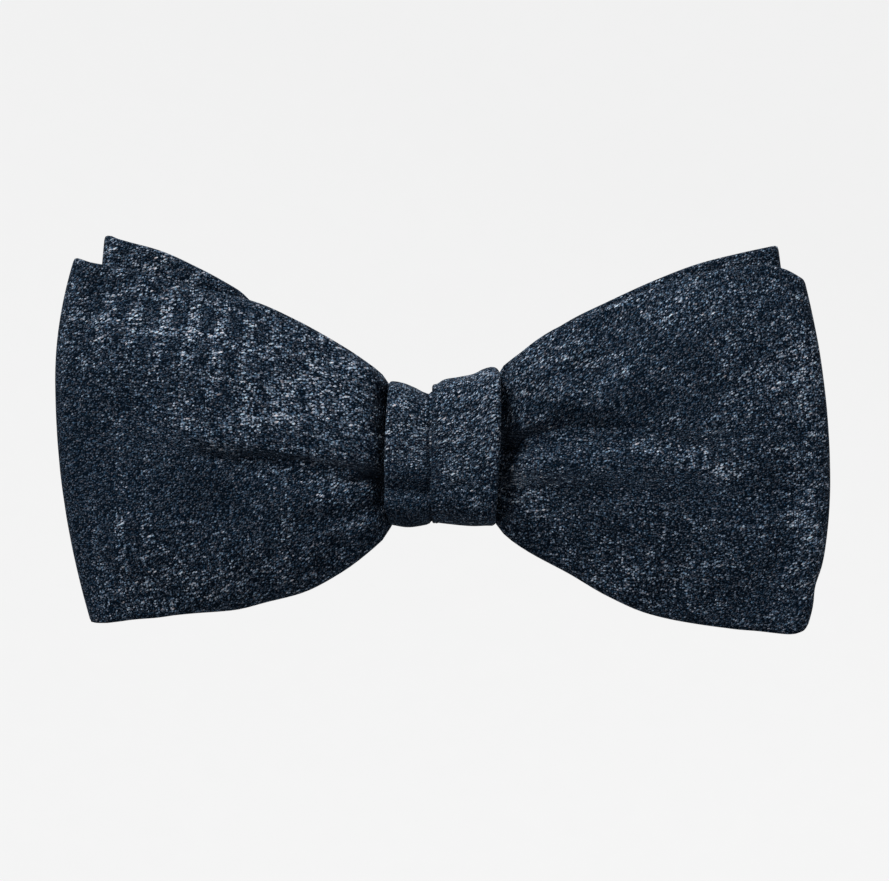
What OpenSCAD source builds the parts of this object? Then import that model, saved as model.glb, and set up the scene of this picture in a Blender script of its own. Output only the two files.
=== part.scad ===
// Pre-tied clip-on bow tie. Two stacked fabric bows are gathered at the waist by thread and
// covered by a pleated knot. Behind the knot a riveted steel clip holds the tie on a collar:
// two arms swing on rivets, and each carries a sprung lever that pinches the collar.
// Millimetres, as worn: X across the collar, -Y forward, +Z up. The origin is on the rear
// face of the clip arms, at the middle of the knot.

/* [Front bow] */
// Reach of each folded end from the middle
front_reach = 60; // [57:0.5:63]
// Height of the left wing's top corner
front_top_left = 28.4; // [25:0.2:31]
// Height of the right wing's top corner
front_top_right = 27.2; // [25:0.2:31]
// Depth of the left wing's bottom corner
front_bottom_left = 27.5; // [24:0.2:31]
// Depth of the right wing's bottom corner
front_bottom_right = 29.2; // [24:0.2:31]
// How far the wings bulge forward between knot and fold
front_bulge = 5; // [2:0.2:6]

/* [Rear bow] */
// Reach of each folded end from the middle
rear_reach = 54; // [50:0.5:56]
// Height of the left wing's top corner
rear_top_left = 32; // [28:0.2:34]
// Height of the right wing's top corner
rear_top_right = 30.6; // [28:0.2:34]
// Depth of both bottom corners
rear_bottom = 24; // [20:0.2:26]

/* [Fabric] */
// Thickness of a bow's strip, two layers of cloth and the interlining between them
strip_thick = 1.6; // [1.4:0.05:1.6]
// Thickness of the cloth
cloth_thick = 0.45; // [0.3:0.05:0.5]
// Thickness of the interlining
interlining_thick = 0.5; // [0.3:0.05:0.55]
// Diameter of the sewing thread
thread_d = 0.5; // [0.3:0.05:0.5]

/* [Knot] */
// Width of the knot
knot_w = 17; // [15:0.5:17]
// Height of the knot's top edge at its left side
knot_top_left = 10.1; // [9.8:0.1:11]
// Height of the knot's top edge at its right side
knot_top_right = 12; // [11:0.1:13]
// Depth of the knot's bottom edge
knot_bottom = 12.4; // [12.2:0.1:13]
// Thickness of the knot's folded band
wrap_thick = 1.5; // [1.2:0.1:1.5]

/* [Collar clip] */
// Thickness of the back plate
plate_thick = 0.9; // [0.7:0.1:0.9]
// Distance between the two swivel rivets
rivet_pitch = 25; // [25:0.5:27]
// Radius of the rivet shank
rivet_r = 1; // [0.8:0.05:1.2]
// Thickness of an arm
arm_thick = 0.8; // [0.6:0.1:0.8]
// Reach of an arm's end from the middle
arm_reach = 46; // [44:0.5:48]
// Half width of an arm
arm_half_w = 4.5; // [4:0.1:5]
// Distance of the lever's hinge pin from the middle
hinge_x = 23; // [22:0.5:24]
// Height of the hinge pin behind the arm's rear face
hinge_y = 2.6; // [2.6:0.1:2.8]
// Radius of the hinge pin
pin_r = 0.75; // [0.6:0.05:0.8]
// Radial clearance of everything that turns
running_gap = 0.05; // [0.02:0.01:0.08]
// Thickness of the lever
lever_thick = 0.7; // [0.5:0.1:0.7]
// Diameter of the spring wire
wire_d = 0.5; // [0.4:0.05:0.5]

/* [Label] */
// Width of the blank label
label_w = 20; // [16:1:24]
// Height of the blank label
label_h = 11; // [8:1:12]

/* [Hidden] */

cloth_colour = [0.12, 0.16, 0.23];
interlining_colour = [0.85, 0.84, 0.8];
thread_colour = [0.1, 0.13, 0.2];
label_colour = [0.92, 0.91, 0.88];
nickel_colour = [0.78, 0.78, 0.76];

knot_half = knot_w / 2;
rivet_x = rivet_pitch / 2;
// Gap between the two ends of a bow's strip, which meet behind the waist
seam_gap = 0.5;
// Waist of the gathered bows inside the knot, at the middle and at the knot's sides
waist_top = 5;
waist_bottom = -9.8;
waist_side_top = 7.6;
waist_side_bottom = -10.3;
// How far the wings open out right beside the knot, and over what length
flare_top = 1.9;
flare_bottom = 2.6;
flare_length = 0.8;
// How much the folded ends are set back at their corners, and how far the left one leans
end_set_back = 4;
left_lean = 1.4;
// How far the bulge falls back at a wing's long edges
crown = 3;
// Places of a layer's stations between waist and fold, and points up a strip
layer_steps = 11;
fold_step = 30;
strip_rows = 6;

// Layers from back to front: where the middle of each strip lies at the waist and at the fold
// A bow: [reach, [left top, right top], [left bottom, right bottom], [waist back, waist front],
//         fold middle, fold radius, bulge, crown, [left top curve, right top curve, bottom curve]]
front_bow = [
    front_reach, [front_top_left, front_top_right], [-front_bottom_left, -front_bottom_right],
    [-7.0, -8.8], -11.3, 2.3, front_bulge, crown, [1.7, 1.6, 2.7]
];
rear_bow = [
    rear_reach, [rear_top_left, rear_top_right], [-rear_bottom, -rear_bottom],
    [-3.4, -5.2], -5.2, 1.7, 0, 0, [1.25, 1.45, 2.2]
];

function mix(a, b, f) = a + (b - a) * f;
function clamp01(f) = max(0, min(1, f));
function ease(f) = f * f * (3 - 2 * f);
function fold_start(bow) = bow[0] - bow[5] - strip_thick / 2;

// Share of the way from the knot's side to where the fold starts
function along(bow, x) = clamp01((abs(x) - knot_half) / (fold_start(bow) - knot_half));

function front_layer_y(bow, x) =
    let (f = along(bow, x))
    mix(bow[3][1], bow[4] - bow[5], ease(f)) - bow[6] * pow(sin(180 * f), 2);
function back_layer_y(bow, x) = mix(bow[3][0], bow[4] + bow[5], ease(along(bow, x)));

// Places of the stations on one layer from the middle to the start of the fold
function layer_stations(bow) = concat(
    [seam_gap / 2, 1.2, knot_half / 2, knot_half],
    [for (i = [1:layer_steps])
        mix(knot_half, fold_start(bow), pow(i / layer_steps, 1.3))]
);

// Half of a bow's path in plan, on the +X side: back layer, then fold
function half_path(bow) = concat(
    [for (x = layer_stations(bow)) [x, back_layer_y(bow, x)]],
    [for (a = [fold_step:fold_step:180 - fold_step])
        [fold_start(bow) + bow[5] * sin(a), bow[4] + bow[5] * cos(a)]]
);
function front_path(bow) =
    let (xs = layer_stations(bow), n = len(xs))
    concat(
        [for (i = [n - 1:-1:1]) [xs[i], front_layer_y(bow, xs[i])]],
        [[0, front_layer_y(bow, 0)]],
        [for (i = [1:n - 1]) [-xs[i], front_layer_y(bow, xs[i])]]
    );
// The whole strip: out along the back on the right, across the front, and in on the left
function bow_path(bow) =
    let (right = half_path(bow), n = len(right))
    concat(right, front_path(bow), [for (i = [n - 1:-1:0]) [-right[i][0], right[i][1]]]);

// Height of a wing's edge at x: side is 0 for the left wing and 1 for the right
function edge_z(bow, x, upper) =
    let (
        side = x < 0 ? 0 : 1,
        inside = pow(min(1, abs(x) / knot_half), 2),
        outside = clamp01((abs(x) - knot_half) / (bow[0] - end_set_back - knot_half)),
        flare = 1 - exp(-max(0, abs(x) - knot_half) / flare_length),
        curve = upper ? bow[8][side] : bow[8][2],
        start = upper
            ? mix(waist_top, waist_side_top, inside) + flare_top * flare
            : mix(waist_bottom, waist_side_bottom, inside) - flare_bottom * flare,
        corner = upper ? bow[1][side] : bow[2][side]
    )
    mix(start, corner, 1 - pow(1 - outside, curve));

// How far a point of the strip is set back from the fold's full reach
function set_back(bow, x, v) =
    let (far = clamp01((abs(x) - knot_half) / (bow[0] - knot_half)))
    (end_set_back * pow(2 * v - 1, 2) + (x < 0 ? left_lean * (1 - 2 * v) : 0)) * far * far;

// One point of a strip: offset is measured across its thickness, v runs from bottom to top
function strip_point(bow, p, normal, offset, inset, v) =
    let (
        x = p[0] + normal[0] * offset,
        y = p[1] + normal[1] * offset,
        in_front = p[1] < bow[4] ? 1 : 0,
        fall = in_front * bow[7] * pow(2 * v - 1, 2) * pow(sin(180 * along(bow, p[0])), 2)
    )
    [
        x - sign(p[0]) * set_back(bow, p[0], v),
        y + fall,
        mix(edge_z(bow, p[0], false) + inset, edge_z(bow, p[0], true) - inset, v)
    ];

// Closed ring round the strip's section at station i of a path
function strip_ring(bow, path, i, half, inset) =
    let (
        n = len(path),
        step = path[min(n - 1, i + 1)] - path[max(0, i - 1)],
        normal = [-step[1], step[0]] / norm(step)
    )
    concat(
        [for (r = [0:strip_rows]) strip_point(bow, path[i], normal, half, inset, r / strip_rows)],
        [for (r = [strip_rows:-1:0])
            strip_point(bow, path[i], normal, -half, inset, r / strip_rows)]
    );
function strip_rings(bow, half, inset, trim) =
    let (path = bow_path(bow))
    [for (i = [trim:len(path) - 1 - trim]) strip_ring(bow, path, i, half, inset)];

// Triangles between neighbouring rings, numbered from first; flip turns them inside out
function wall_faces(count, size, first, flip) = [
    for (i = [0:count - 2], j = [0:size - 1])
        let (a = first + i * size + j, b = first + i * size + (j + 1) % size)
        each flip ? [[a, a + size, b], [b, a + size, b + size]]
                  : [[a, b, a + size], [b, b + size, a + size]]
];
// Triangles between the outer and the inner ring at an open end
function rim_faces(outer, inner, size, flip) = [
    for (j = [0:size - 1])
        let (k = (j + 1) % size)
        each flip ? [[outer + j, inner + j, outer + k], [outer + k, inner + j, inner + k]]
                  : [[outer + j, outer + k, inner + j], [outer + k, inner + k, inner + j]]
];
// Triangles that close a convex ring, in pairs between its two halves
function cap_faces(first, size, flip) = [
    for (j = [0:size / 2 - 2])
        let (a = first + j, b = a + 1, d = first + size - 1 - j, c = d - 1)
        each flip ? [[a, d, b], [b, d, c]] : [[a, b, d], [b, c, d]]
];

// A solid through a stack of rings, closed at both ends
module solid_skin(rings) {
    count = len(rings);
    size = len(rings[0]);
    last = (count - 1) * size;
    polyhedron(
        points = [for (ring = rings) each ring],
        faces = concat(
            wall_faces(count, size, 0, false),
            cap_faces(0, size, true),
            cap_faces(last, size, false)
        ),
        convexity = 6
    );
}
// An open-ended hollow tube between two stacks of rings
module hollow_skin(outer, inner) {
    count = len(outer);
    size = len(outer[0]);
    shift = count * size;
    last = (count - 1) * size;
    polyhedron(
        points = concat([for (ring = outer) each ring], [for (ring = inner) each ring]),
        faces = concat(
            wall_faces(count, size, 0, false),
            wall_faces(count, size, shift, true),
            rim_faces(0, shift, size, true),
            rim_faces(last, shift + last, size, false)
        ),
        convexity = 8
    );
}
// Round wire of diameter d along a list of points
module wire(route, d, sides) {
    count = len(route);
    solid_skin([
        for (i = [0:count - 1])
            let (
                step = route[min(count - 1, i + 1)] - route[max(0, i - 1)],
                ahead = step / norm(step),
                guide = abs(ahead[0]) > 0.9 ? [0, 0, 1] : [1, 0, 0],
                across = cross(ahead, guide) / norm(cross(ahead, guide)),
                up = cross(ahead, across)
            )
            [for (k = [0:sides - 1])
                route[i] + (across * cos(360 * k / sides) + up * sin(360 * k / sides)) * d / 2]
    ]);
}

module bow_fabric(bow) {
    hollow_skin(
        strip_rings(bow, strip_thick / 2, 0, 0),
        strip_rings(bow, strip_thick / 2 - cloth_thick, 0.8, 0)
    );
}
module bow_interlining(bow) {
    solid_skin(strip_rings(bow, interlining_thick / 2, 1.1, 1));
}
module front_bow_fabric() { color(cloth_colour) bow_fabric(front_bow); }
module front_bow_interlining() { color(interlining_colour) bow_interlining(front_bow); }
module rear_bow_fabric() { color(cloth_colour) bow_fabric(rear_bow); }
module rear_bow_interlining() { color(interlining_colour) bow_interlining(rear_bow); }

// The knot's band: faces of its ring round the waist
knot_front_y = -16.2;
knot_back_y = 0.6;
knot_dip = 7.5;
pleat_at = -0.18;
pleat_depth = 0.3;
pleat_overlap = 0.4;
knot_stations = [-1, -0.88, -0.6, -0.3, pleat_at, -0.06, 0.25, 0.6, 0.88, 1];
knot_corner_front = 5;
knot_corner_back = 2.2;

function knot_top(f) = lookup(f, [
    [-1, knot_top_left], [pleat_at, knot_dip], [0.25, 9.6], [0.7, knot_top_right],
    [1, knot_top_right]
]);
function knot_front(f) =
    knot_front_y + (f == pleat_at ? pleat_depth : 0) - (f > pleat_at ? pleat_overlap : 0);
function corner_arc(y, z, r, from) =
    [for (a = [0:22.5:90]) [y + r * cos(from - a), z + r * sin(from - a)]];
function knot_ring(f, inset) =
    let (
        front = knot_front(f) + inset,
        back = knot_back_y - inset,
        top = knot_top(f) - inset,
        bottom = -knot_bottom + inset,
        rf = knot_corner_front - inset,
        rb = knot_corner_back - inset,
        outline = concat(
            corner_arc(back - rb, top - rb, rb, 90),
            corner_arc(back - rb, bottom + rb, rb, 0),
            corner_arc(front + rf, bottom + rf, rf, -90),
            corner_arc(front + rf, top - rf, rf, -180)
        )
    )
    [for (p = outline) [f * knot_half, p[0], p[1]]];
module knot_wrap() {
    color(cloth_colour)
    hollow_skin(
        [for (f = knot_stations) knot_ring(f, 0)],
        [for (f = knot_stations) knot_ring(f, wrap_thick)]
    );
}

// A small roll of wadding that rounds out the knot's front
padding_half_w = 7;
padding_top = 4.5;
padding_bottom = -9.4;
padding_front = -14.2;
padding_back = -10.3;
padding_round = 3.2;
module knot_padding() {
    length = 2 * padding_half_w;
    color(interlining_colour)
    translate([-padding_half_w, 0, 0])
    rotate([90, 0, 90])
    linear_extrude(length)
    intersection() {
        union() {
            for (z = [padding_top - padding_round, padding_bottom + padding_round])
                translate([padding_front + padding_round, z]) circle(padding_round, $fn = 48);
            translate([padding_front, padding_bottom + padding_round])
                square([2 * padding_round, padding_top - padding_bottom - 2 * padding_round]);
            translate([padding_front + padding_round, padding_bottom])
                square([padding_round, padding_top - padding_bottom]);
        }
        translate([padding_front, padding_bottom])
            square([padding_back - padding_front, padding_top - padding_bottom]);
    }
}

// Turns of thread that gather the waist
cinch_turns = 3;
cinch_pitch = 0.6;
cinch_corner = 0.4;
cinch_clear = thread_d / 2 + 0.05;
module cinch_thread() {
    front = front_bow[3][1] - strip_thick / 2 - cinch_clear;
    back = rear_bow[3][0] + strip_thick / 2 + cinch_clear;
    top = waist_top + cinch_clear;
    bottom = waist_bottom - cinch_clear;
    corners = [
        [back - cinch_corner, top - cinch_corner, 90],
        [back - cinch_corner, bottom + cinch_corner, 0],
        [front + cinch_corner, bottom + cinch_corner, -90],
        [front + cinch_corner, top - cinch_corner, -180]
    ];
    color(thread_colour)
    wire([
        for (i = [0:4 * cinch_turns - 1], a = [0, 45, 90])
            let (c = corners[i % 4], turned = c[2] - a)
            [
                (i / 4 + a / 360 - cinch_turns / 2) * cinch_pitch,
                c[0] + cinch_corner * cos(turned),
                c[1] + cinch_corner * sin(turned)
            ]
    ], thread_d, 6);
}

// Whip stitches over the seam that closes the band behind the knot
stitch_count = 5;
stitch_spacing = 3;
stitch_length = 2.4;
stitch_depth = 0.9;
stitch_slant = 25;
stitch_z = -3;
module staple_stitch(length, depth, d) {
    cylinder(h = length, d = d, center = true, $fn = 16);
    for (end = [-1, 1])
        translate([0, 0, end * length / 2]) {
            sphere(d = d, $fn = 16);
            rotate([90, 0, 0]) cylinder(h = depth, d = d, $fn = 16);
        }
}
module knot_stitches() {
    color(thread_colour)
    for (i = [0:stitch_count - 1])
        let (x = (i - (stitch_count - 1) / 2) * stitch_spacing)
        translate([x, knot_back_y + thread_d / 2, stitch_z])
            rotate([0, stitch_slant, 0]) staple_stitch(stitch_length, stitch_depth, thread_d);
}

// Blank label on the back of the rear bow's right wing
label_thick = 0.3;
label_x = 33;
label_z = -14;
label_y = rear_bow[3][0] + strip_thick / 2 + 0.1;
module care_label() {
    color(label_colour)
    translate([label_x - label_w / 2, label_y, label_z - label_h / 2])
        cube([label_w, label_thick, label_h]);
}
// Running stitches along the label's upper and lower edges
label_stitch_count = 6;
label_stitch_l = 1.8;
label_stitch_d = 0.24;
label_margin = 1;
module label_stitches() {
    pitch = (label_w - 2 * label_margin) / label_stitch_count;
    color(thread_colour)
    for (i = [0:label_stitch_count - 1], end = [-1, 1])
        let (
            x = label_x + (i - (label_stitch_count - 1) / 2) * pitch,
            y = label_y + label_thick + label_stitch_d / 2,
            z = label_z + end * (label_h / 2 - label_margin)
        )
        translate([x, y, z])
            rotate([0, 90, 0]) cylinder(h = label_stitch_l, d = label_stitch_d, center = true, $fn = 16);
}

// The back plate lies in front of the arms, inside the knot's band
plate_front = -1.9;
plate_half_h = 3.8;
// Draws a flat outline given in X and Z as a plate from y1 to y2
module xz_plate(y1, y2) {
    translate([0, y2, 0]) rotate([90, 0, 0]) linear_extrude(y2 - y1) children();
}
module clip_backplate() {
    color(nickel_colour)
    xz_plate(plate_front, plate_front + plate_thick)
    difference() {
        union() {
            square([rivet_pitch, 2 * plate_half_h], center = true);
            for (side = [-1, 1]) translate([side * rivet_x, 0]) circle(plate_half_h, $fn = 64);
        }
        for (side = [-1, 1]) translate([side * rivet_x, 0]) circle(rivet_r, $fn = 48);
    }
}

// Rivet: shank through back plate and arm, with a domed head at each end
head_r = 1.9;
head_h = 0.5;
module rivet() {
    color(nickel_colour)
    translate([rivet_x, 0, 0])
    rotate([-90, 0, 0])
    union() {
        translate([0, 0, plate_front]) {
            cylinder(h = running_gap - plate_front, r = rivet_r, $fn = 48);
            mirror([0, 0, 1]) rivet_head();
        }
        translate([0, 0, running_gap]) rivet_head();
    }
}
module rivet_head() {
    rotate_extrude($fn = 48)
    polygon([
        [0, 0], [head_r, 0], [head_r, head_h * 0.4],
        for (a = [15:15:90]) [head_r * cos(a), head_h * (0.4 + 0.6 * sin(a))]
    ]);
}

// Arm: stamped plate with an eye for the rivet and two ears for the hinge pin
eye_r = 3.6;
shoulder_x = 18;
arm_corner = 1.5;
ear_thick = 0.8;
ear_half_l = 2.6;
ear_r = 1.7;
arm_ear_z = arm_half_w;
module clip_arm() {
    color(nickel_colour)
    difference() {
        union() {
            xz_plate(-arm_thick, 0) arm_outline();
            for (side = [-1, 1])
                translate([0, 0, side * (arm_ear_z + ear_thick / 2)])
                    linear_extrude(ear_thick, center = true) ear_outline(-arm_thick, ear_r);
        }
        translate([hinge_x, hinge_y, 0]) cylinder(h = 20, r = pin_r, center = true, $fn = 48);
    }
}
module arm_outline() {
    difference() {
        union() {
            translate([rivet_x, 0]) circle(eye_r, $fn = 64);
            polygon([
                [rivet_x, -eye_r], [shoulder_x, -arm_half_w],
                [shoulder_x, arm_half_w], [rivet_x, eye_r]
            ]);
            translate([shoulder_x - 0.5, -arm_half_w])
                square([arm_reach - arm_corner - shoulder_x + 0.5, 2 * arm_half_w]);
            translate([shoulder_x, arm_corner - arm_half_w])
                square([arm_reach - shoulder_x, 2 * (arm_half_w - arm_corner)]);
            for (side = [-1, 1])
                translate([arm_reach - arm_corner, side * (arm_half_w - arm_corner)])
                    circle(arm_corner, $fn = 32);
            translate([hinge_x - ear_half_l, -arm_ear_z - ear_thick])
                square([2 * ear_half_l, 2 * (arm_ear_z + ear_thick)]);
        }
        translate([rivet_x, 0]) circle(rivet_r + running_gap, $fn = 48);
    }
}
// Ear in X and Y: a straight foot from y upward that narrows to a round eye at the pin
module ear_outline(foot_y, r) {
    translate([hinge_x, hinge_y]) circle(r, $fn = 48);
    polygon([
        [hinge_x - ear_half_l, foot_y], [hinge_x + ear_half_l, foot_y],
        [hinge_x + r, hinge_y], [hinge_x - r, hinge_y]
    ]);
}

// Hinge pin, with a low head outside each ear
pin_head_r = 1.15;
pin_head_h = 0.4;
module hinge_pin() {
    reach = arm_ear_z + ear_thick;
    color(nickel_colour)
    translate([hinge_x, hinge_y, 0])
    union() {
        cylinder(h = 2 * reach, r = pin_r, center = true, $fn = 48);
        for (side = [0, 1])
            mirror([0, 0, side])
                translate([0, 0, reach]) cylinder(h = pin_head_h, r = pin_head_r, $fn = 32);
    }
}

// Lever: one bent plate with a finger tail, two inner ears and a toothed jaw
lever_half_w = 4.2;
tail_end = [14.6, 6.6];
tail_root = [21.5, 5.15];
jaw_root = [25.5, 4.75];
jaw_bend = [42, 2.2];
jaw_tip = [45.4, 0.35];
tooth_count = 6;
tooth_depth = 0.9;
lever_line = [tail_end, tail_root, jaw_root, jaw_bend, jaw_tip];
// Points of the lever's line, moved by an offset across it
function line_side(line, offset) = [
    for (i = [0:len(line) - 1])
        let (
            step = line[min(len(line) - 1, i + 1)] - line[max(0, i - 1)],
            across = [-step[1], step[0]] / norm(step)
        )
        line[i] + across * offset
];
module lever() {
    inner = line_side(lever_line, -lever_thick / 2);
    outer = line_side(lever_line, lever_thick / 2);
    pitch = 2 * lever_half_w / tooth_count;
    color(nickel_colour)
    difference() {
        union() {
            linear_extrude(2 * lever_half_w, center = true)
                polygon(concat(inner, [for (i = [len(outer) - 1:-1:0]) outer[i]]));
            for (side = [-1, 1])
                translate([0, 0, side * (lever_half_w - ear_thick / 2)])
                    linear_extrude(ear_thick, center = true) lever_ear();
        }
        translate([hinge_x, hinge_y, 0])
            cylinder(h = 20, r = pin_r + running_gap, center = true, $fn = 48);
        for (i = [0:tooth_count])
            translate([jaw_tip[0] - 2, jaw_tip[1] - 0.4, (i - tooth_count / 2) * pitch])
                rotate([0, 90, 0])
                linear_extrude(4)
                polygon([[-pitch * 0.4, 0], [pitch * 0.4, 0], [0, tooth_depth]]);
    }
}
module lever_ear() {
    translate([hinge_x, hinge_y]) circle(1.8, $fn = 48);
    polygon([
        [hinge_x - 1.8, hinge_y], [hinge_x + 1.8, hinge_y],
        [jaw_root[0], jaw_root[1]], [tail_root[0], tail_root[1]]
    ]);
}

// Spring: a coil round the pin, one leg on the arm and one under the lever's tail
coil_r = 1.5;
coil_turns = 3.5;
coil_half_l = 1;
coil_step = 30;
arm_leg = [17.5, 0.35];
tail_leg = [17.2, 5.2];
module lever_spring() {
    sweep = 360 * coil_turns;
    color(nickel_colour)
    wire(concat(
        [[arm_leg[0], arm_leg[1], coil_half_l]],
        [for (a = [0:coil_step:sweep])
            [
                hinge_x + coil_r * cos(a - 90),
                hinge_y + coil_r * sin(a - 90),
                coil_half_l * (1 - 2 * a / sweep)
            ]],
        [[tail_leg[0], tail_leg[1], -coil_half_l]]
    ), wire_d, 8);
}

module left_side() { mirror([1, 0, 0]) children(); }
module left_rivet() { left_side() rivet(); }
module right_rivet() { rivet(); }
module left_clip_arm() { left_side() clip_arm(); }
module right_clip_arm() { clip_arm(); }
module left_lever() { left_side() lever(); }
module right_lever() { lever(); }
module left_hinge_pin() { left_side() hinge_pin(); }
module right_hinge_pin() { hinge_pin(); }
module left_lever_spring() { left_side() lever_spring(); }
module right_lever_spring() { lever_spring(); }

front_bow_fabric();
front_bow_interlining();
rear_bow_fabric();
rear_bow_interlining();
knot_wrap();
knot_padding();
cinch_thread();
knot_stitches();
care_label();
label_stitches();
clip_backplate();
left_rivet();
right_rivet();
left_clip_arm();
right_clip_arm();
left_lever();
right_lever();
left_hinge_pin();
right_hinge_pin();
left_lever_spring();
right_lever_spring();
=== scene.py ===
"""Bow tie: fine cloth, stitching, label and metal finishes over the fixed CAD frame.

Shapes are worked out in millimetres in the CAD's frame (X across, -Y forward, +Z up) and
turned into metres when a mesh is made.
"""
import math

import bpy
import numpy as np
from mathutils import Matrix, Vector


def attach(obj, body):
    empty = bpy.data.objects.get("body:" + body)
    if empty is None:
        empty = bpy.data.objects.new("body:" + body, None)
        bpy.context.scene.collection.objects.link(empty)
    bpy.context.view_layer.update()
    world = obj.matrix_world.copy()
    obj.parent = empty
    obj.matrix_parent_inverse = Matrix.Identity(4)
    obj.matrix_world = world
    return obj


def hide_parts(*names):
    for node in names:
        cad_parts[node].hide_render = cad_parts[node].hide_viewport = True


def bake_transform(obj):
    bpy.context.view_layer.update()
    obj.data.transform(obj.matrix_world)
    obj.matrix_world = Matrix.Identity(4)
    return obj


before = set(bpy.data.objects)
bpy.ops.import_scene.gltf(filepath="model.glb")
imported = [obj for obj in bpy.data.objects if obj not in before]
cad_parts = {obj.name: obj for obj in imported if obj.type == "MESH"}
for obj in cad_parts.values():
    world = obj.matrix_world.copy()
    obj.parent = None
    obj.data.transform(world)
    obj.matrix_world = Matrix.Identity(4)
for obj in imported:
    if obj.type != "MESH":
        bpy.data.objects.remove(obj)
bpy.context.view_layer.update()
MM = 0.001
TAU = 2 * math.pi


# -------- small helpers
def curve(*points):
    """A smooth curve through (place, value) points that never overshoots them."""
    x, y = np.array(points, float).T
    h = np.diff(x)
    d = np.diff(y) / h
    m = np.zeros(len(x))
    same = d[:-1] * d[1:] > 0
    m[1:-1][same] = (2 * d[:-1] * d[1:])[same] / (d[:-1] + d[1:])[same]
    m[0], m[-1] = d[0], d[-1]

    def at(q):
        q = np.clip(q, x[0], x[-1])
        k = np.clip(np.searchsorted(x, q, side="right") - 1, 0, len(h) - 1)
        t = (q - x[k]) / h[k]
        start = y[k] * (1 + 2 * t) * (1 - t) ** 2 + m[k] * h[k] * t * (1 - t) ** 2
        return start + y[k + 1] * t * t * (3 - 2 * t) + m[k + 1] * h[k] * t * t * (t - 1)

    return at


def ease(t):
    t = np.clip(t, 0, 1)
    return t * t * (3 - 2 * t)


def mix(a, b, f):
    return a + (b - a) * f


def bell(offset, width):
    """1 at the middle and nearly 0 two widths away."""
    return np.exp(-((offset / width) ** 2))


def unit(v):
    return v / np.maximum(np.linalg.norm(v, axis=-1, keepdims=True), 1e-9)


def normals(grid):
    """Unit normals of a grid of points, (rows, columns, 3)."""
    along, across = np.gradient(grid, axis=0), np.gradient(grid, axis=1)
    return unit(np.cross(along, across))


def distance_along(points):
    """How far along a line each of its points is."""
    steps = np.linalg.norm(np.diff(points, axis=0), axis=1)
    return np.concatenate([[0], np.cumsum(steps)])


def smoothed(field, rounds):
    """A grid's values after a few rounds of averaging with their neighbours."""
    for _ in range(rounds):
        p = np.pad(field, [(1, 1), (1, 1)] + [(0, 0)] * (field.ndim - 2), mode="edge")
        field = (p[:-2, 1:-1] + p[2:, 1:-1] + p[1:-1, :-2] + p[1:-1, 2:] + 4 * field) / 8
    return field


def value_noise(x, y, seed):
    """Smooth random values from -1 to 1, one bump to each unit of x and y."""
    table = np.random.RandomState(seed).uniform(-1, 1, (64, 64))
    i, j = np.floor(x).astype(int), np.floor(y).astype(int)
    f, g = ease(x - i), ease(y - j)
    low, high = (mix(table[i % 64, k % 64], table[(i + 1) % 64, k % 64], f) for k in (j, j + 1))
    return mix(low, high, g)


def tube_faces(count, size, first=0, flip=False, around=False):
    """Quads between neighbouring rings of points, and ladder caps unless it closes on itself."""
    steps = count if around else count - 1
    i, j = np.meshgrid(np.arange(steps), np.arange(size), indexing="ij")
    here, there, after = first + i * size, first + (i + 1) % count * size, (j + 1) % size
    quads = np.stack([here + j, here + after, there + after, there + j], -1).reshape(-1, 4)
    if not around:
        k = np.arange(size // 2 - 1)
        cap = np.stack([k, size - 1 - k, size - 2 - k, k + 1], -1)
        quads = np.concatenate([quads, first + cap, first + (count - 1) * size + cap[:, ::-1]])
    return quads[:, ::-1] if flip else quads


def put(name, data):
    """A new object in the scene, from a mesh, a light or a camera."""
    obj = bpy.data.objects.new(name, data)
    bpy.context.scene.collection.objects.link(obj)
    return obj


def corners(mesh):
    """The vertex at each corner of its faces."""
    index = np.zeros(len(mesh.loops), np.int32)
    mesh.loops.foreach_get("vertex_index", index)
    return index


def make(name, points, faces, material, uv=None, body="bow", stands_for=(), tone=None):
    """A smooth mesh object in place, on its body."""
    mesh = bpy.data.meshes.new(name)
    mesh.from_pydata((np.asarray(points) * MM).tolist(), [], [list(map(int, f)) for f in faces])
    mesh.validate()
    mesh.update()
    mesh.polygons.foreach_set("use_smooth", [True] * len(mesh.polygons))
    if uv is not None:
        layer = mesh.uv_layers.new(name="weave")
        layer.data.foreach_set("uv", np.asarray(uv, np.float32)[corners(mesh)].ravel())
    if tone is not None:
        density = mesh.attributes.new("tone", "FLOAT", "POINT")
        density.data.foreach_set("value", np.asarray(tone, np.float32))
    mesh.materials.append(material)
    obj = put(name, mesh)
    if body:
        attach(obj, body)
    if stands_for:
        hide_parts(*stands_for)
    return obj


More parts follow.
